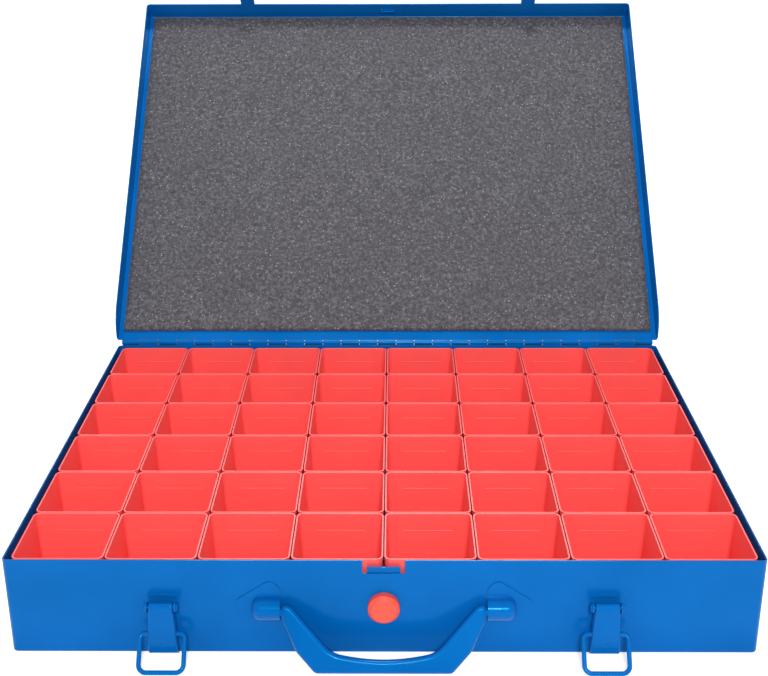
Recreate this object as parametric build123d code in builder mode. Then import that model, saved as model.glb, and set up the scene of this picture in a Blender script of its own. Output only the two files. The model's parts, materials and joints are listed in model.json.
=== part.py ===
"""Steel assortment case for drill bits: hinged lid, removable bins, toggle latches and a push catch."""
from build123d import *
from math import acos, atan2, cos, degrees, radians, sin, sqrt
import os

os.makedirs("parts", exist_ok=True)

# Case: pressed sheet steel, origin at the centre of the underside, front wall towards -Y
case_width = 440.0
case_depth = 330.0
base_height = 63.0
sheet = 0.8
corner_radius = 3.0
bend_radius = 1.6
fit_gap = 0.05  # radial clearance of pins and rivets in their holes
line_slack = 0.01  # straight length left between two arcs that would otherwise meet

# Lid: its rims telescope outside the base
lid_lift = 3.0  # top of the panel above the base rim
lid_side_gap = 0.8
lid_front_gap = 0.8
lid_rim_depth = 17.8
lid_open = 136.0
rim_trim_length = 25.0  # rounded-off rear corner of each side rim
rim_trim_rise = 13.0

# Piano hinge along the back
knuckle_count = 29
hinge_end_margin = 2.75  # from each side of the case
knuckle_gap = 0.5
knuckle_radius = 2.1
hinge_pin_radius = 1.0
hinge_sheet = 0.8
hinge_rise = 1.8  # axis above the base rim
base_leaf_depth = 14.0
lid_leaf_depth = 6.0
hinge_clearance = 0.4
hinge_overlap = 1.0  # of each knuckle's web with its leaf

# Foam sheet glued inside the lid
foam_thickness = 2.8
foam_side_margin = 4.0
foam_front_margin = 0.3  # inside the tray's front wall
foam_back_margin = 0.5

# Bins: a grid of tapered tubs standing on the floor
bin_columns = 8
bin_rows = 6
bin_margin_x = 3.2  # between the outer bins' pitch line and the side wall
bin_margin_y = 2.2
bin_gap = 0.6
bin_rim_drop = 1.1  # bin rims below the base rim
bin_draft = 2.9
bin_wall = 1.0
bin_corner_radius = 4.0

# Push catch in the middle of the front wall
notch_width = 24.6
notch_depth = 8.8
button_z_drop = 30.6  # button axis below the base rim
button_radius = 9.3
button_reach = 6.0
button_ring = 2.1
button_dish_depth = 0.8
button_flange_radius = 10.5
button_flange_thickness = 0.6
button_stem_radius = 3.0
button_stem_length = 0.54
button_back_gap = 0.1
catch_width = 19.4
catch_sheet = 0.6
catch_foot_z = 4.0
catch_hook_drop = 5.0  # middle of the hooked lip below the base rim
catch_bow = 2.9  # middle of the bowed leaf behind the outer face of the wall
catch_top_offset = 1.6
catch_foot_length = 7.0
catch_bow_drop = 14.5  # straight middle of the bow, below and above the button's axis
catch_bow_rise = 7.5
catch_neck_drop = 3.0  # below the notch
catch_bend_radius = 0.4  # at the middle of the sheet
catch_lip_reach = 0.1
striker_width = 12.5
striker_gap = 0.2
striker_leg = 2.9
striker_reach = 1.0

# Toggle latches, one each side of the handle
latch_x = 128.5
latch_throw = 17.9  # from the lever's pivot down to the bail's pivot
pivot_out = 7.4  # both pivots in front of the wall
lever_sheet = 1.0
lever_depth = 6.5
lever_top_radius = 2.6
lever_top_half_width = 6.9
lever_end_half_width = 8.8
lever_face_length = 29.5
lever_tail_length = 33.1
lever_edge_radius = 0.8
lever_bend_radius = 1.0  # of the flanges' back outline
lever_neck = 7.8  # from the pivot down to where the flanges reach their full depth
lever_wrap_back = 0.8  # where the sheet over the top ends, behind the pivot
lever_tail_back = 4.5  # tip of each tail behind the face
lever_dimple_radius = 2.0
lever_dimple_depth = 0.5
lever_dimple_rise = 6.0  # above the end of the face
lever_pin_radius = 1.25
pin_head_radius = 2.1
pin_head_thickness = 0.8
ear_sheet = 1.2
ear_radius = 2.8
ear_gap = 0.5  # beside the lever's flanges
ear_root = 7.0
plate_sheet = 1.0
plate_bottom = 12.0
plate_corner_radius = 2.0
rivet_radius = 1.5
rivet_head_radius = 2.8
rivet_head_height = 1.1
rivet_chamfer = 0.8
rivet_spacing = 10.0
rivet_edge_distance = 4.0
bail_wire_radius = 1.4
bail_end_inset = 0.3  # wire ends past the inside of the flanges
bail_half_width = 13.0
bail_length = 22.2
bail_shoulder_radius = 3.0
bail_corner_radius = 4.5
hook_width = 12.5
hook_inner_width = 3.6
hook_lip = 2.4
hook_drop = 9.2  # trough of the hook below the lid's rim

# Carrying handle with two stamped sockets
trunnion_drop = 31.2  # swing axis below the base rim
trunnion_out = 5.0
trunnion_radius = 2.5
trunnion_length = 14.8
trunnion_root = 1.0  # buried in the arm, past its rounded edge
handle_half_span = 59.3
handle_reach = 34.8
grip_depth = 7.7
handle_thickness = 6.8
handle_edge_radius = 2.4
grip_half_length = 39.5
grip_bow = 4.0  # rise of the grip's inner edge from its middle to its ends
grip_inner_radius = 14.0
grip_outer_radius = 4.0
handle_inner_step = 9.0
arm_end_half_height = 4.2
arm_end_length = 4.8
arm_inner_radius = 6.0
arm_outer_radius = 8.0
arm_shoulder_inset = 8.8
arm_shoulder_drop = 22.5
socket_gap = 0.6
socket_length = 17.0
socket_radius = 7.0
socket_centre_out = 1.6
socket_plate = 0.6
socket_end_radius = 5.0
socket_plate_rise = 19.0
socket_plate_drop = 10.3
socket_plate_reach = 27.0
socket_plate_shoulder = 4.2
socket_plate_apex = 5.1
socket_plate_head = 12.2
socket_foot = 24.0
socket_corner_radius = 5.0
table_gap = 0.05

# Worked-out positions
front_y = -case_depth / 2
back_y = case_depth / 2
hinge_y = back_y + knuckle_radius
hinge_length = case_width - 2 * hinge_end_margin
knuckle_pitch = (hinge_length + knuckle_gap) / knuckle_count
hinge_z = base_height + hinge_rise
lid_top = base_height + lid_lift
lid_inner_top = lid_top - sheet
lid_rim_z = lid_top - lid_rim_depth
lid_width = case_width + 2 * (lid_side_gap + sheet)
lid_front_y = front_y - lid_front_gap - sheet
lid_back_y = hinge_y - knuckle_radius - hinge_clearance
front_plane = Plane.XZ.offset(-front_y)  # sketches in x and z, extrudes outwards
button_z = base_height - button_z_drop
catch_hook_z = base_height - catch_hook_drop
trunnion_z = base_height - trunnion_drop
trunnion_y = front_y - trunnion_out
bar_out = lid_front_gap + sheet + hook_inner_width / 2
bar_z = lid_rim_z - hook_drop + bail_wire_radius
bail_z = bar_z - sqrt(bail_length**2 - (pivot_out - bar_out) ** 2)
lever_z = bail_z + latch_throw
pivot_y = front_y - pivot_out
lever_front_y = pivot_y - lever_top_radius
lever_back_y = lever_front_y + lever_depth
lever_top_z = lever_z + lever_top_radius

hinge_axis = Axis((0, hinge_y, hinge_z), (-1, 0, 0))
handle_axis = Axis((0, trunnion_y, trunnion_z), (-1, 0, 0))
bail_axis = Axis((0, pivot_y, bail_z), (-1, 0, 0))


def resting_angle(pivot_height, arm, half_thickness, edge):
    """Outward swing at which an arm's rounded end comes down on the table."""
    reach = sqrt((arm - edge) ** 2 + (half_thickness - edge) ** 2)
    drop = pivot_height - table_gap - edge
    return degrees(acos(min(1.0, drop / reach)) + atan2(half_thickness - edge, arm - edge))


handle_rest = resting_angle(trunnion_z, handle_reach, handle_thickness / 2, handle_edge_radius)
bail_rest = resting_angle(bail_z, bail_length + bail_wire_radius, bail_wire_radius, bail_wire_radius)


def save(part, name):
    """Label a finished piece and write it under its own name."""
    part.label = name
    export_step(part, f"parts/{name}.step")


# --- Base tray ---------------------------------------------------------------------------------
rivet_bottom = plate_bottom + rivet_edge_distance
rivet_heights = [rivet_bottom, rivet_bottom + rivet_spacing]
rivet_places = [(side * latch_x, z) for side in (-1, 1) for z in rivet_heights]

with BuildPart() as base_tray:
    with BuildSketch():
        RectangleRounded(case_width, case_depth, corner_radius)
    extrude(amount=base_height)
    fillet(base_tray.faces().sort_by(Axis.Z)[0].edges(), bend_radius)
    offset(amount=-sheet, openings=base_tray.faces().sort_by(Axis.Z)[-1])
    with BuildSketch(front_plane):
        with Locations((0, base_height - notch_depth / 2)):
            Rectangle(notch_width, notch_depth)
        with Locations((0, button_z)):
            Circle(button_radius + fit_gap)
        with Locations(*rivet_places):
            Circle(rivet_radius + fit_gap)
    extrude(amount=-2 * sheet, mode=Mode.SUBTRACT)
save(base_tray.part, "base_tray")

# --- Lid shell, drawn closed and swung open ----------------------------------------------------
with BuildPart() as lid_shell:
    with BuildSketch(Plane.XY.offset(lid_rim_z)):
        with Locations((0, (lid_back_y + lid_front_y) / 2)):
            Rectangle(lid_width, lid_back_y - lid_front_y)
    extrude(amount=lid_rim_depth)
    fillet(lid_shell.edges().filter_by(Axis.Z).group_by(Axis.Y)[0], corner_radius)
    fillet(lid_shell.faces().sort_by(Axis.Z)[-1].edges().sort_by(Axis.Y)[:-1], bend_radius)
    lid_faces = lid_shell.faces()
    offset(amount=-sheet, openings=[lid_faces.sort_by(Axis.Z)[0], lid_faces.sort_by(Axis.Y)[-1]])
    with BuildSketch(Plane.YZ):
        with BuildLine():
            rear_edge = Polyline(
                (lid_back_y - rim_trim_length, lid_rim_z),
                (lid_back_y, lid_rim_z),
                (lid_back_y, lid_rim_z + rim_trim_rise),
            )
            TangentArc(rear_edge @ 0, rear_edge @ 1, tangent=(1, 0))
        make_face()
    extrude(amount=lid_width, both=True, mode=Mode.SUBTRACT)
    hook_y = lid_front_y + sheet / 2
    hook_front_y = hook_y - hook_inner_width - sheet
    hook_z = lid_rim_z - hook_drop - sheet / 2
    with BuildSketch(Plane.YZ) as hook_profile:
        with BuildLine():
            FilletPolyline(
                (hook_y, lid_rim_z + sheet),
                (hook_y, hook_z),
                (hook_front_y, hook_z),
                (hook_front_y, hook_z + hook_lip),
                radius=hook_inner_width / 2 + sheet / 2 - line_slack,
            )
        trace(line_width=sheet)
    with Locations((-latch_x, 0, 0), (latch_x, 0, 0)):
        add(extrude(hook_profile.sketch, amount=hook_width / 2, both=True, mode=Mode.PRIVATE))
save(lid_shell.part.rotate(hinge_axis, lid_open), "lid_shell")

# --- Striker inside the lid's front rim --------------------------------------------------------
striker_top = catch_hook_z - catch_sheet / 2 - striker_gap
striker_y = lid_front_y + sheet
with BuildPart() as striker:
    with BuildSketch(Plane.YZ):
        with BuildLine():
            FilletPolyline(
                (striker_y + sheet / 2, striker_top - striker_leg),
                (striker_y + sheet / 2, striker_top - sheet / 2),
                (front_y + striker_reach, striker_top - sheet / 2),
                radius=sheet / 2,
            )
        trace(line_width=sheet)
    extrude(amount=striker_width / 2, both=True)
save(striker.part.rotate(hinge_axis, lid_open), "lid_striker")

# --- Foam sheet --------------------------------------------------------------------------------
foam_width = lid_width - 2 * (sheet + foam_side_margin)
foam_front = front_y + sheet + foam_front_margin
foam_back = lid_back_y - lid_leaf_depth - foam_back_margin
with BuildPart() as lid_foam:
    with BuildSketch(Plane.XY.offset(lid_inner_top - foam_thickness)):
        with Locations((0, (foam_front + foam_back) / 2)):
            Rectangle(foam_width, foam_back - foam_front)
    extrude(amount=foam_thickness)
save(lid_foam.part.rotate(hinge_axis, lid_open), "lid_foam")

# --- Piano hinge -------------------------------------------------------------------------------
knuckle_length = knuckle_pitch - knuckle_gap
hinge_half_length = hinge_length / 2
knuckle_x = [(i - (knuckle_count - 1) / 2) * knuckle_pitch for i in range(knuckle_count)]
lid_knuckles = knuckle_x[0::2]
base_knuckles = knuckle_x[1::2]

with BuildPart() as hinge_base_leaf:
    leaf_top = hinge_z - knuckle_radius - hinge_clearance
    with BuildSketch(Plane.YZ):
        with Locations((back_y + hinge_sheet / 2, leaf_top - base_leaf_depth / 2)):
            Rectangle(hinge_sheet, base_leaf_depth)
    extrude(amount=hinge_half_length, both=True)
    with BuildSketch(*[Plane.YZ.offset(x) for x in base_knuckles]):
        with Locations((hinge_y, hinge_z)):
            Circle(knuckle_radius)
        with Locations((back_y + hinge_sheet / 2, (leaf_top - hinge_overlap + hinge_z) / 2)):
            Rectangle(hinge_sheet, hinge_z - leaf_top + hinge_overlap)
    extrude(amount=knuckle_length / 2, both=True)
    with BuildSketch(Plane.YZ):
        with Locations((hinge_y, hinge_z)):
            Circle(hinge_pin_radius + fit_gap)
    extrude(amount=hinge_half_length, both=True, mode=Mode.SUBTRACT)
save(hinge_base_leaf.part, "hinge_base_leaf")

with BuildPart() as hinge_lid_leaf:
    leaf_z = lid_inner_top - hinge_sheet / 2
    with BuildSketch(Plane.YZ):
        with Locations((lid_back_y - lid_leaf_depth / 2, leaf_z)):
            Rectangle(lid_leaf_depth, hinge_sheet)
    extrude(amount=hinge_half_length, both=True)
    with BuildSketch(*[Plane.YZ.offset(x) for x in lid_knuckles]):
        with Locations((hinge_y, hinge_z)):
            Circle(knuckle_radius)
        with Locations(((lid_back_y - hinge_overlap + hinge_y) / 2, leaf_z)):
            Rectangle(hinge_y - lid_back_y + hinge_overlap, hinge_sheet)
    extrude(amount=knuckle_length / 2, both=True)
    with BuildSketch(Plane.YZ):
        with Locations((hinge_y, hinge_z)):
            Circle(hinge_pin_radius + fit_gap)
    extrude(amount=hinge_half_length, both=True, mode=Mode.SUBTRACT)
save(hinge_lid_leaf.part.rotate(hinge_axis, lid_open), "hinge_lid_leaf")

with BuildPart() as hinge_pin:
    with BuildSketch(Plane.YZ):
        with Locations((hinge_y, hinge_z)):
            Circle(hinge_pin_radius)
    extrude(amount=hinge_half_length, both=True)
save(hinge_pin.part, "hinge_pin")

# --- Bins: one node for each row from front to back, one solid for each bin ----------------------
pitch_x = (case_width - 2 * sheet - 2 * bin_margin_x) / bin_columns
pitch_y = (case_depth - 2 * sheet - 2 * bin_margin_y) / bin_rows
bin_height = base_height - bin_rim_drop - sheet
bin_shrink = bin_height * sin(radians(bin_draft)) / cos(radians(bin_draft))
foot_x = pitch_x - bin_gap - 2 * bin_shrink
foot_y = pitch_y - bin_gap - 2 * bin_shrink
row_y = [(i - (bin_rows - 1) / 2) * pitch_y for i in range(bin_rows)]

with BuildPart() as bin_tub:
    with BuildSketch(Plane.XY.offset(sheet)):
        RectangleRounded(foot_x, foot_y, bin_corner_radius)
    with BuildSketch(Plane.XY.offset(sheet + bin_height)):
        RectangleRounded(foot_x + 2 * bin_shrink, foot_y + 2 * bin_shrink, bin_corner_radius)
    loft(ruled=True)
    hollow_x = foot_x - 2 * bin_wall
    hollow_y = foot_y - 2 * bin_wall
    with BuildSketch(Plane.XY.offset(sheet + bin_wall)):
        RectangleRounded(hollow_x, hollow_y, bin_corner_radius - bin_wall)
    with BuildSketch(Plane.XY.offset(sheet + bin_height)):
        RectangleRounded(hollow_x + 2 * bin_shrink, hollow_y + 2 * bin_shrink, bin_corner_radius - bin_wall)
    loft(ruled=True, mode=Mode.SUBTRACT)

for number, y in enumerate(row_y, start=1):
    with BuildPart() as bins_row:
        with Locations((0, y)):
            with GridLocations(pitch_x, pitch_y, bin_columns, 1):
                add(bin_tub.part)
    save(bins_row.part, f"bins_row_{number}")

# --- Push button -------------------------------------------------------------------------------
wall_inside = -sheet - button_back_gap
flange_back = wall_inside - button_flange_thickness
stem_back = flange_back - button_stem_length
with BuildPart() as release_button:
    with BuildSketch(Plane.YZ):
        with BuildLine():
            dish_edge = (front_y - button_reach, button_z + button_radius - button_ring)
            dish_centre = (front_y - button_reach + button_dish_depth, button_z)
            Polyline(
                dish_centre,
                (front_y - stem_back, button_z),
                (front_y - stem_back, button_z + button_stem_radius),
                (front_y - flange_back, button_z + button_stem_radius),
                (front_y - flange_back, button_z + button_flange_radius),
                (front_y - wall_inside, button_z + button_flange_radius),
                (front_y - wall_inside, button_z + button_radius),
                (front_y - button_reach + button_ring, button_z + button_radius),
                dish_edge,
            )
            TangentArc(dish_centre, dish_edge, tangent=(0, 1))
        make_face()
    revolve(axis=Axis((0, front_y, button_z), (0, 1, 0)))
save(release_button.part, "release_button")

# --- Catch leaf behind the front wall ----------------------------------------------------------
catch_y = front_y + catch_top_offset
catch_foot_y = front_y + sheet + catch_sheet / 2
catch_bow_y = front_y + catch_bow
with BuildPart() as catch_spring:
    with BuildSketch(Plane.YZ):
        with BuildLine():
            FilletPolyline(
                (catch_foot_y, catch_foot_z),
                (catch_foot_y, catch_foot_z + catch_foot_length),
                (catch_bow_y, button_z - catch_bow_drop),
                (catch_bow_y, button_z + catch_bow_rise),
                (catch_y, base_height - notch_depth - catch_neck_drop),
                (catch_y, catch_hook_z),
                (front_y - catch_lip_reach, catch_hook_z),
                radius=catch_bend_radius,
            )
        trace(line_width=catch_sheet)
    extrude(amount=catch_width / 2, both=True)
save(catch_spring.part, "catch_spring")

# --- Toggle latch, drawn at x = 0 and placed at both sides --------------------------------------
lever_taper = (lever_end_half_width - lever_top_half_width) / lever_tail_length
bail_hole_half_width = lever_top_half_width + lever_taper * (lever_top_z - bail_z)
ear_inner = lever_top_half_width + lever_taper * 2 * lever_top_radius + ear_gap
ear_outer = ear_inner + ear_sheet
face_end_z = lever_z - lever_face_length
tail_end_z = lever_z - lever_tail_length


def lever_block(outline, inset):
    """Side outline of the lever carried across its tapering width, less an inset at each flange."""
    top = lever_top_half_width - inset
    end = lever_end_half_width - inset
    with BuildPart() as block:
        with BuildSketch(front_plane):
            with BuildLine():
                Polyline(
                    (-end, tail_end_z),
                    (end, tail_end_z),
                    (top, lever_top_z),
                    (-top, lever_top_z),
                    close=True,
                )
            make_face()
        extrude(amount=lever_depth * 2)
        extrude(outline, amount=lever_end_half_width, both=True, mode=Mode.INTERSECT)
    return block.part


top_back_radius = lever_top_radius - line_slack
with BuildSketch(Plane.YZ) as lever_outline:
    with BuildLine():
        FilletPolyline(
            (lever_front_y, face_end_z),
            (lever_front_y, lever_top_z),
            (pivot_y + lever_top_radius, lever_top_z),
            (pivot_y + lever_top_radius, lever_z - lever_top_radius),
            (lever_back_y, lever_z - lever_neck),
            (lever_back_y, face_end_z),
            (lever_front_y + lever_tail_back, tail_end_z),
            radius=(0, lever_top_radius, top_back_radius, *4 * (lever_bend_radius,)),
            close=True,
        )
    make_face()
with BuildSketch(Plane.YZ) as lever_hollow:
    with BuildLine():
        wrap_y = pivot_y + lever_wrap_back
        inside_y = lever_front_y + lever_sheet
        inside_top = lever_top_z - lever_sheet
        FilletPolyline(
            (lever_back_y, tail_end_z),
            (inside_y, tail_end_z),
            (inside_y, inside_top),
            (wrap_y, inside_top),
            (wrap_y, lever_top_z),
            (lever_back_y, lever_top_z),
            radius=(0, 0, lever_top_radius - lever_sheet, 0, 0, 0),
            close=True,
        )
    make_face()

with BuildPart() as lever:
    add(lever_block(lever_outline.sketch, 0))
    front_edges = lever.faces().sort_by(Axis.Y)[0].edges().filter_by(Axis.X, reverse=True)
    fillet(front_edges, lever_edge_radius)
    add(lever_block(lever_hollow.sketch, lever_sheet), mode=Mode.SUBTRACT)
    with BuildSketch(Plane.YZ):
        with Locations((pivot_y, lever_z)):
            Circle(lever_pin_radius + fit_gap)
        with Locations((pivot_y, bail_z)):
            Circle(bail_wire_radius + fit_gap)
    extrude(amount=lever_end_half_width, both=True, mode=Mode.SUBTRACT)
    dimple_ball = (lever_dimple_radius**2 + lever_dimple_depth**2) / (2 * lever_dimple_depth)
    with Locations((0, lever_front_y + lever_dimple_depth - dimple_ball, face_end_z + lever_dimple_rise)):
        Sphere(dimple_ball, mode=Mode.SUBTRACT)

with BuildPart() as lever_pin:
    with BuildSketch(Plane.YZ):
        with Locations((pivot_y, lever_z)):
            Circle(lever_pin_radius)
    extrude(amount=ear_outer, both=True)
    with BuildSketch(Plane.YZ.offset(ear_outer), Plane.YZ.offset(-ear_outer - pin_head_thickness)):
        with Locations((pivot_y, lever_z)):
            Circle(pin_head_radius)
    extrude(amount=pin_head_thickness)

with BuildPart() as latch_plate:
    with BuildSketch(front_plane):
        with Locations((0, (plate_bottom + lever_z) / 2)):
            RectangleRounded(2 * ear_outer, lever_z - plate_bottom, plate_corner_radius)
        with Locations(*[(0, z) for z in rivet_heights]):
            Circle(rivet_radius + fit_gap, mode=Mode.SUBTRACT)
    extrude(amount=plate_sheet)
    with BuildSketch(Plane.YZ.offset(ear_inner), Plane.YZ.offset(-ear_outer)):
        with Locations((front_y - plate_sheet / 2, lever_z - plate_corner_radius - ear_root / 2)):
            Rectangle(plate_sheet, ear_root)
        with Locations((pivot_y, lever_z)):
            Circle(ear_radius)
        make_hull()
        with Locations((pivot_y, lever_z)):
            Circle(lever_pin_radius + fit_gap, mode=Mode.SUBTRACT)
    extrude(amount=ear_sheet)

with BuildPart() as latch_rivets:
    for z in rivet_heights:
        with BuildSketch(Plane.YZ):
            with BuildLine():
                Polyline(
                    (front_y - plate_sheet - rivet_head_height, z),
                    (front_y - plate_sheet - rivet_head_height, z + rivet_head_radius - rivet_chamfer),
                    (front_y - plate_sheet - rivet_head_height + rivet_chamfer, z + rivet_head_radius),
                    (front_y - plate_sheet, z + rivet_head_radius),
                    (front_y - plate_sheet, z + rivet_radius),
                    (front_y + sheet, z + rivet_radius),
                    (front_y + sheet, z + rivet_head_radius),
                    (front_y + sheet + rivet_head_height - rivet_chamfer, z + rivet_head_radius),
                    (front_y + sheet + rivet_head_height, z + rivet_head_radius - rivet_chamfer),
                    (front_y + sheet + rivet_head_height, z),
                    close=True,
                )
            make_face()
        revolve(axis=Axis((0, front_y, z), (0, 1, 0)))

with BuildPart() as bail:
    with BuildLine(Plane.XZ.offset(-pivot_y)) as bail_wire:
        wire_end = bail_hole_half_width - lever_sheet - bail_end_inset
        FilletPolyline(
            (-wire_end, bail_z),
            (-bail_half_width, bail_z),
            (-bail_half_width, bail_z - bail_length),
            (bail_half_width, bail_z - bail_length),
            (bail_half_width, bail_z),
            (wire_end, bail_z),
            radius=(bail_shoulder_radius, bail_corner_radius, bail_corner_radius, bail_shoulder_radius),
        )
    with BuildSketch(Plane(bail_wire.line @ 0, z_dir=bail_wire.line % 0)):
        Circle(bail_wire_radius)
    sweep()

for hand, x in (("left", -latch_x), ("right", latch_x)):
    place = Location((x, 0, 0))
    save(lever.part.moved(place), f"latch_{hand}_lever")
    save(lever_pin.part.moved(place), f"latch_{hand}_pin")
    save(latch_plate.part.moved(place), f"latch_{hand}_plate")
    save(latch_rivets.part.moved(place), f"latch_{hand}_rivets")
    save(bail.part.rotate(bail_axis, bail_rest).moved(place), f"latch_{hand}_bail")

# --- Carrying handle, drawn hanging and swung out until its grip rests on the table --------------
with BuildPart() as handle:
    with BuildSketch(Plane.XZ.offset(-trunnion_y)):
        with BuildLine():
            grip_outside = trunnion_z - handle_reach
            grip_inside = grip_outside + grip_depth
            arm_top = trunnion_z + arm_end_half_height
            arm_bottom = trunnion_z - arm_end_half_height
            FilletPolyline(
                (0, grip_inside),
                (grip_half_length - handle_inner_step, grip_inside + grip_bow),
                (handle_half_span - arm_end_length, arm_top),
                (handle_half_span, arm_top),
                (handle_half_span, arm_bottom),
                (handle_half_span - arm_shoulder_inset, trunnion_z - arm_shoulder_drop),
                (grip_half_length, grip_outside),
                (0, grip_outside),
                radius=(grip_inner_radius, arm_inner_radius, 0, 0, arm_outer_radius, grip_outer_radius),
            )
            Line((0, grip_outside), (0, grip_inside))
        make_face()
        mirror(about=Plane.YZ)
    extrude(amount=handle_thickness / 2, both=True)
    fillet(handle.edges(), handle_edge_radius)
    trunnion_start = handle_half_span - handle_edge_radius - trunnion_root
    with BuildSketch(Plane.YZ.offset(trunnion_start)):
        with Locations((trunnion_y, trunnion_z)):
            Circle(trunnion_radius)
    extrude(amount=handle_half_span + trunnion_length - trunnion_start)
    mirror(about=Plane.YZ)
save(handle.part.rotate(handle_axis, handle_rest), "handle")

# --- Stamped sockets that carry the handle's trunnions -------------------------------------------
socket_inner = handle_half_span + socket_gap
with BuildPart() as socket:
    with BuildSketch(Plane.YZ.offset(socket_inner)):
        with Locations((front_y - socket_centre_out, trunnion_z)):
            Circle(socket_radius)
    extrude(amount=socket_length)
    fillet(socket.faces().sort_by(Axis.X)[-1].edges(), socket_end_radius)
    split(bisect_by=front_plane, keep=Keep.TOP)
    with BuildSketch(front_plane):
        with BuildLine():
            FilletPolyline(
                (socket_inner, trunnion_z - socket_plate_drop),
                (socket_inner + socket_foot, trunnion_z - socket_plate_drop),
                (socket_inner + socket_plate_reach, trunnion_z + socket_plate_shoulder),
                (socket_inner + socket_plate_apex, trunnion_z + socket_plate_rise),
                (socket_inner, trunnion_z + socket_plate_head),
                radius=socket_corner_radius,
                close=True,
            )
        make_face()
    extrude(amount=socket_plate)
    with BuildSketch(Plane.YZ.offset(socket_inner)):
        with Locations((trunnion_y, trunnion_z)):
            Circle(trunnion_radius + fit_gap)
    extrude(amount=trunnion_length, mode=Mode.SUBTRACT)
save(socket.part, "handle_bracket_right")
save(mirror(socket.part, about=Plane.YZ), "handle_bracket_left")
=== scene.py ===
"""Steel drill bit case: painted sheet, red bins, foam-lined lid, swing handle and toggle latches."""
import json
import math

import bmesh
import bpy
from bpy.props import FloatProperty, FloatVectorProperty, IntProperty, PointerProperty
from bpy.types import Operator, Panel, PropertyGroup
from mathutils import Matrix, Vector, noise
from mathutils.bvhtree import BVHTree


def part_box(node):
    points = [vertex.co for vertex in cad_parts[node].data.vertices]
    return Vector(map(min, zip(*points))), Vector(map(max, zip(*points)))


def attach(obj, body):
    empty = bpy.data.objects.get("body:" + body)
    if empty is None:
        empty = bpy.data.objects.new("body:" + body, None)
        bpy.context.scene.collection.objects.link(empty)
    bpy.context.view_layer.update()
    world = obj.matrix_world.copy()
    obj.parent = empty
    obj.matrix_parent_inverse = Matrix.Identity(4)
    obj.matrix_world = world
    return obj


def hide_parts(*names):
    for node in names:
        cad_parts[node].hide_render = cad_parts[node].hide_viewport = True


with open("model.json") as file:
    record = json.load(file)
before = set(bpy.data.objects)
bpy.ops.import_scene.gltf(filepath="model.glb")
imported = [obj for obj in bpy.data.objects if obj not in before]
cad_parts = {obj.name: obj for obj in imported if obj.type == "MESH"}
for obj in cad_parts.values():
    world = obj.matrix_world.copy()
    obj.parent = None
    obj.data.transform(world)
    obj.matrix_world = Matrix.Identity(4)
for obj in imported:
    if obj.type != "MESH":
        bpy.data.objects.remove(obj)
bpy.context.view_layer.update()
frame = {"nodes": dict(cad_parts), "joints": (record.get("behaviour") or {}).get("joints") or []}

bl_info = {
    "name": "Drill Bit Case",
    "version": (1, 0, 0),
    "blender": (4, 5, 0),
    "location": "View3D > Sidebar > Case",
    "description": "Dresses a steel drill bit case with paint, plastic and foam",
    "category": "Object",
}

MM = 0.001
BIN_ROWS = 6
BIN_COLUMNS = 8
SAME_POINT = 1e-6  # points nearer than this are merged
ON_PLANE = 1e-7  # a point nearer than this lies on a plane
SHARP_ANGLE = math.radians(40)  # edges sharper than this stay sharp
JOINTS = {joint["name"]: joint for joint in frame["joints"]}

COATED_NODES = (
    "base_tray", "lid_shell", "lid_striker", "hinge_base_leaf", "hinge_lid_leaf",
    "handle_bracket_left", "handle_bracket_right", "catch_spring",
)
LATCH_PIECES = ("plate", "lever", "pin", "bail", "rivets")

# Band at the top of a latch's plate
BAND_THICKNESS = 0.6 * MM
BAND_OVERLAP = 0.5 * MM
CORNER_STEPS = 6

# Flange under the hinge, from the back of the tray's wall
FLANGE_START = 0.3 * MM
FLANGE_BEND = 1.2 * MM
FLANGE_INNER_BEND = 1.4 * MM

# Foam's face and the rounding at its edges
FOAM_WAVES = 18  # per metre
FOAM_WAVE_SHAPE = (0.8, 2.2, 4)  # how finer layers weaken, how much finer each is, how many
FOAM_EDGE_DROP = 0.9 * MM
FOAM_EDGE_WIDTH = 1.2 * MM

# Stage
FLOOR_DROP = 0.0002
FLOOR_GREY = 0.8
FLOOR_GLOW = 0.6
LAMP_AIM = (0, 0, 0.1)
LAMPS = (  # name, place and size, in metres
    ("key", (0.1, -2.2, 1.45), 0.35),
    ("rear", (0, 2.4, 1.7), 1.2),
    ("top", (0, 0.4, 1.7), 0.24),
)


# ------------------------------------------------------------------ sizes and colours

class CoatSettings(PropertyGroup):
    """Blue stove enamel on the sheet and the latches."""
    colour: FloatVectorProperty(
        name="Paint", description="Colour of the enamel", subtype="COLOR", size=3,
        default=(0.0, 0.114, 0.415), min=0, max=1,
    )
    gloss: FloatProperty(
        name="Roughness", description="Roughness of the enamel", default=0.2, min=0, max=1,
    )
    sheen: FloatVectorProperty(
        name="Reflection", description="Tint of what the enamel reflects head-on",
        subtype="COLOR", size=3, default=(0.0, 0.5, 1.0), min=0, max=1,
    )
    coat: FloatProperty(
        name="Clear coat", description="Weight of the untinted shine", default=0.05, min=0, max=1,
    )
    edge: FloatProperty(
        name="Edge rounding", description="Radius at which the shading rounds the sheet's edges",
        default=0.3 * MM, unit="LENGTH",
    )
    peel: FloatProperty(
        name="Orange peel", description="Strength of the enamel's slight waviness",
        default=0.035, min=0, max=1,
    )
    peel_size: FloatProperty(
        name="Peel size", description="Distance between the waves of the enamel",
        default=4.0 * MM, unit="LENGTH",
    )


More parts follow.
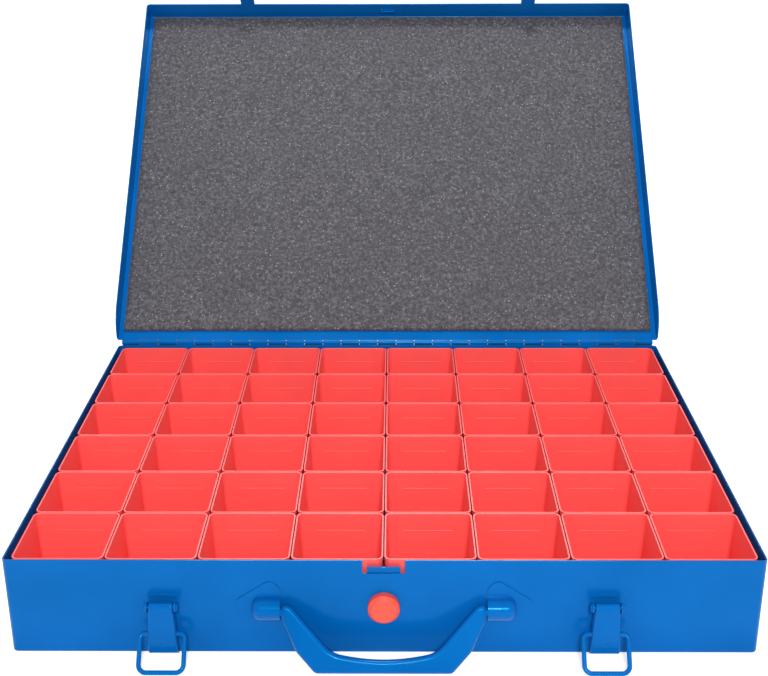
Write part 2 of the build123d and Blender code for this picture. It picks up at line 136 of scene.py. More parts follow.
class BinSettings(PropertyGroup):
    """Moulded red bins and the button of the same plastic."""
    colour: FloatVectorProperty(
        name="Plastic", description="Colour of the bins", subtype="COLOR", size=3,
        default=(0.95, 0.108, 0.102), min=0, max=1,
    )
    # painted shade: the button's colour is set darker in green and blue than the bins' to offset the
    # direct light on it
    button_shaded_colour: FloatVectorProperty(
        name="Button", description="Colour of the push button", subtype="COLOR", size=3,
        default=(1.0, 0.085, 0.045), min=0, max=1,
    )
    edge: FloatProperty(
        name="Edge rounding", description="Radius at which the shading rounds the rims",
        default=0.4 * MM, unit="LENGTH",
    )
    rib_length: FloatProperty(
        name="Rib length", description="Length of the fine rib on each bin's back wall",
        default=30.5 * MM, unit="LENGTH",
    )
    rib_width: FloatProperty(
        name="Rib width", description="Width of the rib's round bead",
        default=0.8 * MM, unit="LENGTH",
    )
    rib_drop: FloatProperty(
        name="Rib drop", description="How far the rib lies below the bin's rim",
        default=11.4 * MM, unit="LENGTH",
    )


class FoamSettings(PropertyGroup):
    """Open-celled foam sheet glued into the lid."""
    colour: FloatVectorProperty(
        name="Foam", description="Colour of the foam", subtype="COLOR", size=3,
        default=(0.052, 0.051, 0.06), min=0, max=1,
    )
    cell: FloatProperty(
        name="Cell", description="Size of the foam's cells", default=1.6 * MM, unit="LENGTH",
    )
    step: FloatProperty(
        name="Mesh step", description="Distance between the foam's mesh points",
        default=2.4 * MM, unit="LENGTH",
    )
    hinge_gap: FloatProperty(
        name="Hinge gap", description="How far the foam stops short of the hinge's side of the lid",
        default=1.5 * MM, unit="LENGTH",
    )
    swell: FloatProperty(
        name="Unevenness", description="How far the foam's face rises and falls",
        default=0.25 * MM, unit="LENGTH",
    )


class HandleSettings(PropertyGroup):
    """Grip of the swing handle."""
    reach: FloatProperty(
        name="Reach", description="From the pins to the grip's outer edge",
        default=34.8 * MM, unit="LENGTH",
    )
    depth: FloatProperty(
        name="Depth", description="Depth of the grip at its middle",
        default=7.7 * MM, unit="LENGTH",
    )
    bow: FloatProperty(
        name="Bow", description="Rise of the grip's inner edge towards its ends",
        default=4.0 * MM, unit="LENGTH",
    )
    bow_half_length: FloatProperty(
        name="Bow half length", description="From the grip's middle to the end of the bow",
        default=30.5 * MM, unit="LENGTH",
    )
    cuts: IntProperty(name="Cuts", description="Cuts across each half of the bow", default=8, min=2)


class LatchSettings(PropertyGroup):
    """Band at the top of each latch's mounting plate."""
    rise: FloatProperty(
        name="Rise", description="Height of the band's upper edge over the lever's pins",
        default=4.5 * MM, unit="LENGTH",
    )
    corner: FloatProperty(
        name="Corner", description="Rounding of the band's upper corners",
        default=1.2 * MM, unit="LENGTH",
    )
    edge: FloatProperty(
        name="Edge", description="Rounding of the band's front edge",
        default=0.2 * MM, unit="LENGTH",
    )


class HingeSettings(PropertyGroup):
    """Flange of the tray's hinge leaf, folded out under the knuckles."""
    drop: FloatProperty(
        name="Drop", description="From the hinge's axis down to the flange",
        default=2.6 * MM, unit="LENGTH",
    )
    depth: FloatProperty(
        name="Depth", description="How far the flange stands out behind the hinge's axis",
        default=2.2 * MM, unit="LENGTH",
    )
    sheet: FloatProperty(
        name="Sheet", description="Thickness of the flange", default=0.5 * MM, unit="LENGTH",
    )


class StudioSettings(PropertyGroup):
    """Camera, floor and lamps."""
    lens: FloatProperty(name="Lens", description="Focal length in millimetres", default=58.31)
    camera_place: FloatVectorProperty(
        name="Camera", description="Where the camera stands", subtype="TRANSLATION", size=3,
        default=(0.0061, -0.7802, 0.4439),
    )
    camera_tilt: FloatProperty(
        name="Tilt", description="How far the camera looks down", subtype="ANGLE",
        default=math.radians(21.61),
    )
    camera_pan: FloatProperty(
        name="Pan", description="How far the camera turns to the left", subtype="ANGLE",
        default=math.radians(0.51),
    )
    camera_roll: FloatProperty(
        name="Roll", description="How far the camera leans", subtype="ANGLE",
        default=math.radians(-0.19),
    )
    world_level: FloatProperty(
        name="Surround", description="Brightness of the surround", default=0.5, min=0,
    )
    key_power: FloatProperty(
        name="Key", description="Power of the main lamp in watts", default=45.0, min=0,
    )
    rear_power: FloatProperty(
        name="Rear", description="Power of the wide lamp behind the case in watts",
        default=30.0, min=0,
    )
    top_power: FloatProperty(
        name="Top", description="Power of the lamp above the case in watts", default=11.0, min=0,
    )
    floor_reach: FloatProperty(
        name="Floor", description="Half the floor's width", default=6.0, unit="LENGTH",
    )


# ------------------------------------------------------------------ helpers

def add_node(tree, kind, **values):
    """Adds a node. A value is a setting, a number for a socket or a socket to link from."""
    made = tree.nodes.new(kind)
    for name, value in values.items():
        if name in made.bl_rna.properties.keys():
            setattr(made, name, value)
    for name, value in values.items():
        if name in made.bl_rna.properties.keys():
            continue
        socket = made.inputs[name]
        if isinstance(value, bpy.types.NodeSocket):
            tree.links.new(value, socket)
        else:
            socket.default_value = value
    return made


def new_material(name):
    """Returns a material's node tree, its shader and the object coordinates in metres."""
    material = bpy.data.materials.new(name)
    material.use_nodes = True
    tree = material.node_tree
    shader = tree.nodes["Principled BSDF"]
    place = tree.nodes.new("ShaderNodeTexCoord").outputs["Object"]
    return material, tree, shader, place


def ramp(tree, factor, stops):
    """Adds a colour ramp. Each stop is a position and a grey or a colour."""
    made = tree.nodes.new("ShaderNodeValToRGB")
    tree.links.new(factor, made.inputs["Fac"])
    elements = made.color_ramp.elements
    while len(elements) < len(stops):
        elements.new(0.5)
    for element, (position, colour) in zip(elements, stops):
        element.position = position
        element.color = (*colour, 1) if isinstance(colour, tuple) else (colour, colour, colour, 1)
    return made.outputs["Color"]


def bump(tree, height, strength, distance, normal=None):
    """Adds a bump and returns its normal."""
    made = add_node(tree, "ShaderNodeBump", Height=height, Strength=strength, Distance=distance)
    if normal is not None:
        tree.links.new(normal, made.inputs["Normal"])
    return made.outputs["Normal"]


def dress(node, material):
    """Puts one material on every slot of a CAD node."""
    mesh = frame["nodes"][node].data
    mesh.materials.clear()
    mesh.materials.append(material)


def mesh_object(name, mesh):
    """Links a mesh as a new object at the origin."""
    made = bpy.data.objects.new(name, mesh)
    bpy.context.scene.collection.objects.link(made)
    return made


def finished(name, mesh, material):
    """Turns an edited mesh into an object at the origin with one material."""
    data = bpy.data.meshes.new(name)
    mesh.to_mesh(data)
    mesh.free()
    data.materials.append(material)
    return mesh_object(name, data)


def draw_out(mesh, outline, axis, place):
    """Adds a face on an outline and draws it out along an axis to a place, as a closed solid."""
    face = mesh.faces.new([mesh.verts.new(point) for point in outline])
    moved = bmesh.ops.extrude_face_region(mesh, geom=[face])["geom"]
    for vertex in [g for g in moved if isinstance(g, bmesh.types.BMVert)]:
        vertex.co[axis] = place


def times(tree, value, factor):
    """Multiplies a value by a factor."""
    made = add_node(tree, "ShaderNodeMath", operation="MULTIPLY")
    tree.links.new(value, made.inputs[0])
    made.inputs[1].default_value = factor
    return made.outputs[0]


def material_of(name, build):
    """Returns the named material, made once."""
    return bpy.data.materials.get(name) or build(name)


def rib_tree(name):
    """Geometry nodes that lay a round bead along X on each point of a mesh."""
    tree = bpy.data.node_groups.new(name, "GeometryNodeTree")
    sides = tree.interface
    sides.new_socket("Geometry", in_out="INPUT", socket_type="NodeSocketGeometry")
    sides.new_socket("Length", in_out="INPUT", socket_type="NodeSocketFloat")
    sides.new_socket("Radius", in_out="INPUT", socket_type="NodeSocketFloat")
    sides.new_socket("Material", in_out="INPUT", socket_type="NodeSocketMaterial")
    sides.new_socket("Geometry", in_out="OUTPUT", socket_type="NodeSocketGeometry")
    given = tree.nodes.new("NodeGroupInput").outputs
    start = add_node(tree, "ShaderNodeCombineXYZ", X=times(tree, given["Length"], -0.5))
    end = add_node(tree, "ShaderNodeCombineXYZ", X=times(tree, given["Length"], 0.5))
    line = add_node(
        tree, "GeometryNodeCurvePrimitiveLine", Start=start.outputs[0], End=end.outputs[0],
    )
    ring = add_node(tree, "GeometryNodeCurvePrimitiveCircle", Resolution=12, Radius=given["Radius"])
    bead = tree.nodes.new("GeometryNodeCurveToMesh")
    tree.links.new(line.outputs["Curve"], bead.inputs["Curve"])
    tree.links.new(ring.outputs["Curve"], bead.inputs["Profile Curve"])
    bead.inputs["Fill Caps"].default_value = True
    spread = tree.nodes.new("GeometryNodeInstanceOnPoints")
    tree.links.new(given["Geometry"], spread.inputs["Points"])
    tree.links.new(bead.outputs["Mesh"], spread.inputs["Instance"])
    whole = add_node(tree, "GeometryNodeRealizeInstances", Geometry=spread.outputs["Instances"])
    finish = add_node(
        tree, "GeometryNodeSetMaterial",
        Geometry=whole.outputs["Geometry"], Material=given["Material"],
    )
    out = tree.nodes.new("NodeGroupOutput")
    tree.links.new(finish.outputs["Geometry"], out.inputs["Geometry"])
    return tree


def grow(made, tree, values):
    """Runs a geometry tree on an object and keeps the mesh that it makes."""
    modifier = made.modifiers.new(tree.name, "NODES")
    modifier.node_group = tree
    for item in tree.interface.items_tree:
        if item.in_out == "INPUT" and item.name in values:
            modifier[item.identifier] = values[item.name]
    bpy.context.view_layer.update()
    whole = made.evaluated_get(bpy.context.evaluated_depsgraph_get())
    mesh = bpy.data.meshes.new_from_object(whole)
    made.modifiers.remove(modifier)
    made.data = mesh
    if not mesh.polygons:
        raise RuntimeError(f"{made.name} has no faces")


def even_shading(made):
    """Gives a mesh normals that follow its large faces, so that its roundings look even."""
    modifier = made.modifiers.new("even", "WEIGHTED_NORMAL")
    modifier.keep_sharp = True
    bpy.context.view_layer.update()
    whole = made.evaluated_get(bpy.context.evaluated_depsgraph_get())
    made.data = bpy.data.meshes.new_from_object(whole)
    made.modifiers.remove(modifier)


# ------------------------------------------------------------------ materials

def blue_enamel(name):
    """Glossy blue enamel with a slight orange peel and faint uneven depth."""
    settings = bpy.context.scene.case_coat
    material, tree, shader, place = new_material(name)
    shader.inputs["Roughness"].default_value = settings.gloss
    shader.inputs["Specular IOR Level"].default_value = 0.35
    shader.inputs["Specular Tint"].default_value = (*settings.sheen, 1)
    shader.inputs["Coat Weight"].default_value = settings.coat
    shader.inputs["Coat Roughness"].default_value = 0.06
    waves = add_node(
        tree, "ShaderNodeTexNoise", Vector=place, Scale=1 / settings.peel_size, Detail=2.0,
    )
    depth = add_node(tree, "ShaderNodeTexNoise", Vector=place, Scale=14.0, Detail=3.0)
    deep = tuple(0.86 * c for c in settings.colour)
    light = tuple(min(1.0, 1.08 * c + 0.002) for c in settings.colour)
    tree.links.new(
        ramp(tree, depth.outputs["Fac"], [(0.3, deep), (0.7, light)]), shader.inputs["Base Color"],
    )
    rounded = add_node(tree, "ShaderNodeBevel", samples=6, Radius=settings.edge)
    peel = bump(tree, waves.outputs["Fac"], settings.peel, 0.4 * MM, rounded.outputs["Normal"])
    tree.links.new(peel, shader.inputs["Normal"])
    tree.links.new(rounded.outputs["Normal"], shader.inputs["Coat Normal"])
    return material


def thin_enamel(name):
    """Dull enamel in the hinge's gaps, darkened to a tenth to a fifth of the paint's colour: painted
    shade.
    """
    settings = bpy.context.scene.case_coat
    material, tree, shader, place = new_material(name)
    shader.inputs["Roughness"].default_value = 0.7
    shader.inputs["Specular IOR Level"].default_value = 0.15
    shade_noise = add_node(
        tree, "ShaderNodeTexNoise", Vector=place, Scale=1 / settings.peel_size, Detail=3.0,
    )
    # painted shade: both stops of this ramp are the paint's colour darkened to stand for the shade
    # in the hinge's gaps
    painted_shade_dark = tuple(0.1 * c for c in settings.colour)
    thick = tuple(0.2 * c for c in settings.colour)
    tree.links.new(
        ramp(tree, shade_noise.outputs["Fac"], [(0.35, painted_shade_dark), (0.65, thick)]), shader.inputs["Base Color"],
    )
    return material


def red_plastic(name):
    """Satin red plastic of the bins."""
    return moulded(name, bpy.context.scene.case_bins.colour)


def red_button(name):
    """The same plastic as the bins, given its own colour, darker in green and blue, to offset the
    direct light on the button: painted shade.
    """
    return moulded(name, bpy.context.scene.case_bins.button_shaded_colour)


def moulded(name, colour):
    """Satin moulded plastic with a fine grain and softened rims."""
    settings = bpy.context.scene.case_bins
    material, tree, shader, place = new_material(name)
    shader.inputs["Roughness"].default_value = 0.38
    shader.inputs["Subsurface Weight"].default_value = 0.12
    shader.inputs["Subsurface Radius"].default_value = (1.0, 0.25, 0.2)
    shader.inputs["Subsurface Scale"].default_value = 3.0 * MM
    cloud = add_node(tree, "ShaderNodeTexNoise", Vector=place, Scale=30.0, Detail=3.0)
    grain = add_node(tree, "ShaderNodeTexNoise", Vector=place, Scale=900.0, Detail=1.0)
    deep = tuple(0.93 * c for c in colour)
    tree.links.new(
        ramp(tree, cloud.outputs["Fac"], [(0.3, deep), (0.7, tuple(colour))]),
        shader.inputs["Base Color"],
    )
    rounded = add_node(tree, "ShaderNodeBevel", samples=6, Radius=settings.edge)
    fine = bump(tree, grain.outputs["Fac"], 0.08, 0.1 * MM, rounded.outputs["Normal"])
    tree.links.new(fine, shader.inputs["Normal"])
    return material


def open_foam(name):
    """Dark grey foam with fine light specks painted into its colour: painted highlights where the
    cell walls would catch the light.
    """
    settings = bpy.context.scene.case_foam
    material, tree, shader, place = new_material(name)
    shader.inputs["Roughness"].default_value = 0.75
    shader.inputs["Sheen Weight"].default_value = 0.15
    cells = add_node(
        tree, "ShaderNodeTexVoronoi", Vector=place, Scale=1 / settings.cell, Randomness=1.0,
    )
    mottle = add_node(
        tree, "ShaderNodeTexNoise",
        Vector=place, Scale=0.6 / settings.cell, Detail=5.0, Roughness=0.85,
    )
    glints = add_node(
        tree, "ShaderNodeTexVoronoi", Vector=place, Scale=0.42 / settings.cell, Randomness=1.0,
    )
    clouds = add_node(tree, "ShaderNodeTexNoise", Vector=place, Scale=22.0, Detail=4.0)
    dark = tuple(0.25 * c for c in settings.colour)
    light = tuple(min(1.0, 2.9 * c) for c in settings.colour)
    # painted highlights: this light grey is mixed into the foam's colour at the specks
    bright = (0.4, 0.4, 0.43)
    middle = tuple(settings.colour)
    ground = ramp(tree, mottle.outputs["Fac"], [(0.36, dark), (0.5, middle), (0.64, light)])
    painted_glint_mask = ramp(tree, glints.outputs["Distance"], [(0.09, 1.0), (0.14, 0.0)])
    lit = tree.nodes.new("ShaderNodeMix")
    lit.data_type = "RGBA"
    tree.links.new(painted_glint_mask, lit.inputs["Factor"])
    tree.links.new(ground, lit.inputs["A"])
    lit.inputs["B"].default_value = (*bright, 1)
    shade = ramp(tree, clouds.outputs["Fac"], [(0.3, 0.88), (0.7, 1.0)])
    mixed = tree.nodes.new("ShaderNodeMix")
    mixed.data_type = "RGBA"
    mixed.blend_type = "MULTIPLY"
    mixed.inputs["Factor"].default_value = 1.0
    tree.links.new(lit.outputs["Result"], mixed.inputs["A"])
    tree.links.new(shade, mixed.inputs["B"])
    tree.links.new(mixed.outputs["Result"], shader.inputs["Base Color"])
    tree.links.new(bump(tree, cells.outputs["Distance"], 0.6, 0.6 * MM), shader.inputs["Normal"])
    return material


def bare_steel(name):
    """Drawn steel wire of the hinge pin, kept very dark as painted shade in the hinge's gaps."""
    material, tree, shader, place = new_material(name)
    shader.inputs["Metallic"].default_value = 1.0
    shader.inputs["Roughness"].default_value = 0.5
    draw = add_node(tree, "ShaderNodeTexNoise", Vector=place, Scale=400.0, Detail=2.0)
    # painted shade: the steel's colour is kept near black so the pin reads as shade between the
    # knuckles
    tree.links.new(
        ramp(tree, draw.outputs["Fac"], [(0.3, 0.05), (0.7, 0.09)]), shader.inputs["Base Color"],
    )
    return material


def seen_rays(tree, rays):
    """Returns 1 for rays that come from the camera, a reflection or glass, and 0 for the rest."""
    joined = rays.outputs["Is Camera Ray"]
    for kind in ("Is Glossy Ray", "Is Transmission Ray"):
        either = add_node(tree, "ShaderNodeMath", operation="MAXIMUM")
        tree.links.new(joined, either.inputs[0])
        tree.links.new(rays.outputs[kind], either.inputs[1])
        joined = either.outputs[0]
    return joined


def studio_floor(name):
    """White floor that stays white in view and in reflections, with the case's soft shadow kept."""
    material = bpy.data.materials.new(name)
    material.use_nodes = True
    tree = material.node_tree
    tree.nodes.clear()
    rays = tree.nodes.new("ShaderNodeLightPath")
    white = add_node(tree, "ShaderNodeBsdfDiffuse", Color=(FLOOR_GREY, FLOOR_GREY, FLOOR_GREY, 1))
    glow = add_node(
        tree, "ShaderNodeEmission",
        Color=(1, 1, 1, 1), Strength=times(tree, seen_rays(tree, rays), FLOOR_GLOW),
    )
    both = tree.nodes.new("ShaderNodeAddShader")
    tree.links.new(white.outputs[0], both.inputs[0])
    tree.links.new(glow.outputs[0], both.inputs[1])
    out = tree.nodes.new("ShaderNodeOutputMaterial")
    tree.links.new(both.outputs[0], out.inputs["Surface"])
    return material


# ------------------------------------------------------------------ pieces

class CASE_OT_coat_sheet(Operator):
    """Paint the tray, lid, hinge, sockets and catch"""
    bl_idname = "case.coat_sheet"
    bl_label = "Painted sheet"

    def execute(self, context):
        paint = material_of("blue_enamel", blue_enamel)
        for node in COATED_NODES:
            dress(node, paint)
        dress("hinge_pin", material_of("pin_steel", bare_steel))
        return {"FINISHED"}


class CASE_OT_flange(Operator):
    """Fold the tray's hinge leaf out under the knuckles, as a dark sheet that paints the shade in
    the hinge's gaps
    """
    bl_idname = "case.flange"
    bl_label = "Hinge flange"

    def execute(self, context):
        settings = context.scene.case_hinge
        low, high = (Vector(corner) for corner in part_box("hinge_base_leaf"))
        axis = Vector(JOINTS["lid_hinge"]["pos_m"])
        top = axis.z - settings.drop
        end = axis.y + settings.depth
        thick = settings.sheet
        start = low.y + FLANGE_START
        profile = [
            (start, top - 2 * thick), (start, top - thick / 2),
            (low.y + FLANGE_BEND, top), (end - thick / 2, top),
            (end, top - thick / 2), (end - thick / 2, top - thick),
            (low.y + FLANGE_INNER_BEND, top - thick),
        ]
        mesh = bmesh.new()
        draw_out(mesh, [(low.x, y, z) for y, z in profile], 0, high.x)
        bmesh.ops.recalc_face_normals(mesh, faces=mesh.faces)
        # dark sheet in the gap enamel: painted shade under the knuckles, where the hinge's gaps are
        # in shade
        flange = finished("hinge_flange", mesh, material_of("thin_enamel", thin_enamel))
        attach(flange, "base")
        return {"FINISHED"}


class CASE_OT_coat_latches(Operator):
    """Paint both toggle latches"""
    bl_idname = "case.coat_latches"
    bl_label = "Latches"

    def execute(self, context):
        paint = material_of("blue_enamel", blue_enamel)
        for hand in ("left", "right"):
            for piece in LATCH_PIECES:
                dress(f"latch_{hand}_{piece}", paint)
        return {"FINISHED"}


class CASE_OT_plate_tops(Operator):
    """Add the band at the top of each latch's mounting plate, above the lever's pins"""
    bl_idname = "case.plate_tops"
    bl_label = "Plate tops"

    def execute(self, context):
        settings = context.scene.case_latch
        for hand in ("left", "right"):
            low, high = (Vector(corner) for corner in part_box(f"latch_{hand}_plate"))
            pins = JOINTS[f"{hand}_lever_swing"]["pos_m"]
            wall = high.y
            top = pins[2] + settings.rise
            bottom = high.z - BAND_OVERLAP
            front = wall - BAND_THICKNESS
            round_z = top - settings.corner
            outline = [(low.x, bottom), (high.x, bottom)]
            outline += self.corner(high.x - settings.corner, round_z, settings.corner, 0)
            outline += self.corner(low.x + settings.corner, round_z, settings.corner, math.pi / 2)
            mesh = bmesh.new()
            draw_out(mesh, [(x, wall, z) for x, z in outline], 1, front)
            rim = [e for e in mesh.edges if all(abs(v.co.y - front) < ON_PLANE for v in e.verts)]
            bmesh.ops.bevel(mesh, geom=rim, offset=settings.edge, segments=3, affect="EDGES")
            bmesh.ops.recalc_face_normals(mesh, faces=mesh.faces)
            paint = material_of("blue_enamel", blue_enamel)
            piece = finished(f"plate_top_{hand}", mesh, paint)
            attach(piece, "base")
        return {"FINISHED"}

    def corner(self, x, z, radius, start):
        """Points of a quarter circle."""
        angles = [start + math.pi / 2 * k / CORNER_STEPS for k in range(CORNER_STEPS + 1)]
        return [(x + radius * math.cos(a), z + radius * math.sin(a)) for a in angles]


class CASE_OT_handle(Operator):
    """Shape the swing handle with an evenly curved inner edge and paint it"""
    bl_idname = "case.handle"
    bl_label = "Handle"

    def execute(self, context):
        settings = context.scene.case_handle
        pivot = Vector(JOINTS["handle_swing"]["pos_m"])
        mesh = bmesh.new()
        mesh.from_mesh(frame["nodes"]["handle"].data)
        bmesh.ops.remove_doubles(mesh, verts=mesh.verts, dist=SAME_POINT)
        middle = [v.co - pivot for v in mesh.verts if abs(v.co.x) < settings.bow_half_length]
        reach = sum(middle, Vector()) / len(middle)
        hang = Matrix.Rotation(math.atan2(-reach.y, -reach.z), 3, "X")
        for k in range(-settings.cuts, settings.cuts + 1):
            place = Vector((settings.bow_half_length * k / settings.cuts, 0, 0))
            whole = mesh.verts[:] + mesh.edges[:] + mesh.faces[:]
            bmesh.ops.bisect_plane(
                mesh, geom=whole, plane_co=place, plane_no=(1, 0, 0), dist=ON_PLANE,
            )
        for vertex in mesh.verts:
            along = abs(vertex.co.x) / settings.bow_half_length
            if along < 1:
                point = hang @ (vertex.co - pivot)
                straight = settings.depth + settings.bow * along
                curved = settings.depth + settings.bow * along ** 2
                point.z = (point.z + settings.reach) * curved / straight - settings.reach
                vertex.co = hang.inverted() @ point + pivot
        bmesh.ops.triangulate(mesh, faces=mesh.faces)
        handle = finished("swing_handle", mesh, material_of("blue_enamel", blue_enamel))
        handle.data.shade_smooth()
        handle.data.set_sharp_from_angle(angle=SHARP_ANGLE)
        even_shading(handle)
        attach(handle, "handle")
        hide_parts("handle")
        return {"FINISHED"}


class CASE_OT_bins(Operator):
    """Mould the bins and the push button in red"""
    bl_idname = "case.bins"
    bl_label = "Bins and button"

    def execute(self, context):
        plastic = material_of("bin_plastic", red_plastic)
        for row in range(1, BIN_ROWS + 1):
            dress(f"bins_row_{row}", plastic)
        dress("release_button", material_of("button_plastic", red_button))
        return {"FINISHED"}


class CASE_OT_ribs(Operator):
    """Mould a fine rib across the back wall of each bin"""
    bl_idname = "case.ribs"
    bl_label = "Bin ribs"

    def execute(self, context):
        settings = context.scene.case_bins
        tree = rib_tree("bin_ribs")
        for row in range(1, BIN_ROWS + 1):
            places = self.back_walls(frame["nodes"][f"bins_row_{row}"].data, settings)
            if len(places) != BIN_COLUMNS:
                raise RuntimeError(f"row {row} has {len(places)} bins")
            seeds = bpy.data.meshes.new(f"rib_places_{row}")
            seeds.from_pydata(places, [], [])
            ribs = mesh_object(f"bin_ribs_{row}", seeds)
            values = {
                "Length": settings.rib_length, "Radius": settings.rib_width / 2,
                "Material": material_of("bin_plastic", red_plastic),
            }
            grow(ribs, tree, values)
            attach(ribs, f"bins_{row}")
        return {"FINISHED"}

    def back_walls(self, mesh, settings):
        """Finds the middle of each bin's back wall inside, below its rim by the rib's drop."""
        rim = max(v.co.z for v in mesh.vertices)
        walls = BVHTree.FromPolygons(
            [v.co for v in mesh.vertices], [p.vertices for p in mesh.polygons],
        )
        low = min(v.co.x for v in mesh.vertices)
        high = max(v.co.x for v in mesh.vertices)
        front = min(v.co.y for v in mesh.vertices)
        back = max(v.co.y for v in mesh.vertices)
        places = []
        for column in range(BIN_COLUMNS):
            x = low + (high - low) * (column + 0.5) / BIN_COLUMNS
            start = Vector((x, (front + back) / 2, rim - settings.rib_drop))
            hit = walls.ray_cast(start, Vector((0, 1, 0)))[0]
            if hit is not None:
                places.append(hit)
        return places


class CASE_OT_foam(Operator):
    """Lay the foam sheet inside the lid"""
    bl_idname = "case.foam"
    bl_label = "Foam"

    def execute(self, context):
        settings = context.scene.case_foam
        hinge = JOINTS["lid_hinge"]
        pivot = Vector(hinge["pos_m"])
        opening = math.radians(-hinge["range_deg"][0])
        turn = Matrix.Rotation(opening, 3, Vector(hinge["axis"]))
        node = frame["nodes"]["lid_foam"]
        closed = [turn.inverted() @ (v.co - pivot) + pivot for v in node.data.vertices]
        low = Vector(min(p[i] for p in closed) for i in range(3))
        high = Vector(max(p[i] for p in closed) for i in range(3))
        high.y -= settings.hinge_gap
        columns = round((high.x - low.x) / settings.step)
        rows = round((high.y - low.y) / settings.step)
        mesh = bmesh.new()

        def lift(x, y):
            """Rise of the foam's face: softly uneven, rounded down at its edges."""
            wave = noise.fractal(Vector((x, y, 0)) * FOAM_WAVES, *FOAM_WAVE_SHAPE) * settings.swell
            edge = min(x - low.x, high.x - x, y - low.y, high.y - y)
            rounding = FOAM_EDGE_DROP * math.exp(-edge / FOAM_EDGE_WIDTH)
            return min(wave, settings.swell) - settings.swell - rounding

        grid = []
        for j in range(rows + 1):
            y = low.y + (high.y - low.y) * j / rows
            line = []
            for i in range(columns + 1):
                x = low.x + (high.x - low.x) * i / columns
                line.append(mesh.verts.new(Vector((x, y, low.z - lift(x, y)))))
            grid.append(line)
        for j in range(rows):
            for i in range(columns):
                corners = (grid[j][i], grid[j + 1][i], grid[j + 1][i + 1], grid[j][i + 1])
                mesh.faces.new(corners)
        border = [e for e in mesh.edges if e.is_boundary]
        sides = bmesh.ops.extrude_edge_only(mesh, edges=border)["geom"]
        for vertex in [g for g in sides if isinstance(g, bmesh.types.BMVert)]:
            vertex.co.z = high.z
        back = [e for e in mesh.edges if e.is_boundary]
        bmesh.ops.contextual_create(mesh, geom=back)
        bmesh.ops.recalc_face_normals(mesh, faces=mesh.faces)
        for vertex in mesh.verts:
            vertex.co = turn @ (vertex.co - pivot) + pivot
        foam = finished("foam_sheet", mesh, material_of("open_foam", open_foam))
        foam.data.shade_smooth()
        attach(foam, "lid")
        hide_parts("lid_foam")
        return {"FINISHED"}


# ------------------------------------------------------------------ stage

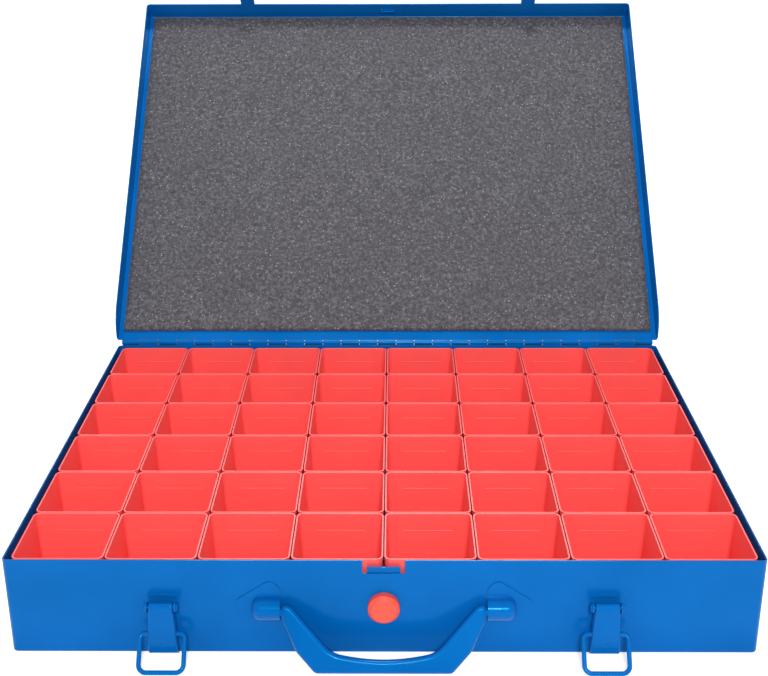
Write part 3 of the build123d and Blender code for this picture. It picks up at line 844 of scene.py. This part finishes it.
class CASE_OT_stage(Operator):
    """Set the floor, lamps and camera"""
    bl_idname = "case.stage"
    bl_label = "Stage"

    def execute(self, context):
        scene = context.scene
        settings = scene.case_studio
        scene.view_settings.view_transform = "Standard"

        reach = settings.floor_reach
        data = bpy.data.meshes.new("floor")
        corners = [(-reach, -reach, 0), (reach, -reach, 0), (reach, reach, 0), (-reach, reach, 0)]
        data.from_pydata(corners, [], [(0, 1, 2, 3)])
        data.materials.append(material_of("studio_floor", studio_floor))
        floor = mesh_object("floor", data)
        floor.location.z = -FLOOR_DROP

        camera = bpy.data.objects.new("camera", bpy.data.cameras.new("camera"))
        scene.collection.objects.link(camera)
        camera.data.lens = settings.lens
        camera.data.sensor_width = 36.0
        camera.data.clip_start = 0.02
        camera.location = settings.camera_place
        look = Matrix.Rotation(settings.camera_pan, 3, "Z")
        look = look @ Matrix.Rotation(math.pi / 2 - settings.camera_tilt, 3, "X")
        look = look @ Matrix.Rotation(settings.camera_roll, 3, "Z")
        camera.rotation_euler = look.to_euler()
        scene.camera = camera

        for name, place, size in LAMPS:
            self.lamp(name, place, size, getattr(settings, f"{name}_power"))
        self.surround(scene, settings.world_level)
        return {"FINISHED"}

    def lamp(self, name, place, size, power):
        """Adds a square lamp that faces the case."""
        light = bpy.data.lights.new(name, "AREA")
        light.size = size
        light.energy = power
        lamp = bpy.data.objects.new(name, light)
        lamp.location = place
        aim = Vector(LAMP_AIM) - Vector(place)
        lamp.rotation_euler = aim.to_track_quat("-Z", "Y").to_euler()
        bpy.context.scene.collection.objects.link(lamp)

    def surround(self, scene, level):
        """Even grey surround that the camera and reflections see as white."""
        world = bpy.data.worlds.new("surround")
        scene.world = world
        world.use_nodes = True
        tree = world.node_tree
        tree.nodes.clear()
        rays = tree.nodes.new("ShaderNodeLightPath")
        light = add_node(tree, "ShaderNodeBackground", Color=(1, 1, 1, 1), Strength=level)
        white = add_node(tree, "ShaderNodeBackground", Color=(1, 1, 1, 1), Strength=1.0)
        pick = tree.nodes.new("ShaderNodeMixShader")
        tree.links.new(seen_rays(tree, rays), pick.inputs["Fac"])
        tree.links.new(light.outputs[0], pick.inputs[1])
        tree.links.new(white.outputs[0], pick.inputs[2])
        out = tree.nodes.new("ShaderNodeOutputWorld")
        tree.links.new(pick.outputs[0], out.inputs["Surface"])


# ------------------------------------------------------------------ panel and run

OPERATORS = (
    CASE_OT_stage, CASE_OT_coat_sheet, CASE_OT_flange, CASE_OT_coat_latches,
    CASE_OT_plate_tops, CASE_OT_handle, CASE_OT_bins, CASE_OT_ribs, CASE_OT_foam,
)
SETTINGS = (
    ("case_coat", CoatSettings), ("case_bins", BinSettings), ("case_foam", FoamSettings),
    ("case_handle", HandleSettings), ("case_latch", LatchSettings), ("case_hinge", HingeSettings),
    ("case_studio", StudioSettings),
)


class CASE_PT_panel(Panel):
    """Lists the steps that dress the case"""
    bl_idname = "CASE_PT_panel"
    bl_label = "Drill Bit Case"
    bl_space_type = "VIEW_3D"
    bl_region_type = "UI"
    bl_category = "Case"

    def draw(self, context):
        for operator in OPERATORS:
            self.layout.operator(operator.bl_idname)
        for name, group in SETTINGS:
            box = self.layout.box()
            box.label(text=group.__doc__)
            for key in group.__annotations__:
                box.prop(getattr(context.scene, name), key)


CLASSES = tuple(group for _, group in SETTINGS) + OPERATORS + (CASE_PT_panel,)


def register():
    for cls in CLASSES:
        bpy.utils.register_class(cls)
    for name, group in SETTINGS:
        setattr(bpy.types.Scene, name, PointerProperty(type=group))


def unregister():
    for name, _ in SETTINGS:
        delattr(bpy.types.Scene, name)
    for cls in reversed(CLASSES):
        bpy.utils.unregister_class(cls)


def run_step(operator):
    """Calls one operator through bpy.ops and stops if it didn't finish."""
    group, name = operator.bl_idname.split(".")
    if getattr(getattr(bpy.ops, group), name)() != {"FINISHED"}:
        raise RuntimeError(f"{operator.bl_label} did not finish")


def main():
    register()
    for operator in OPERATORS:
        run_step(operator)


if __name__ == "__main__":
    main()
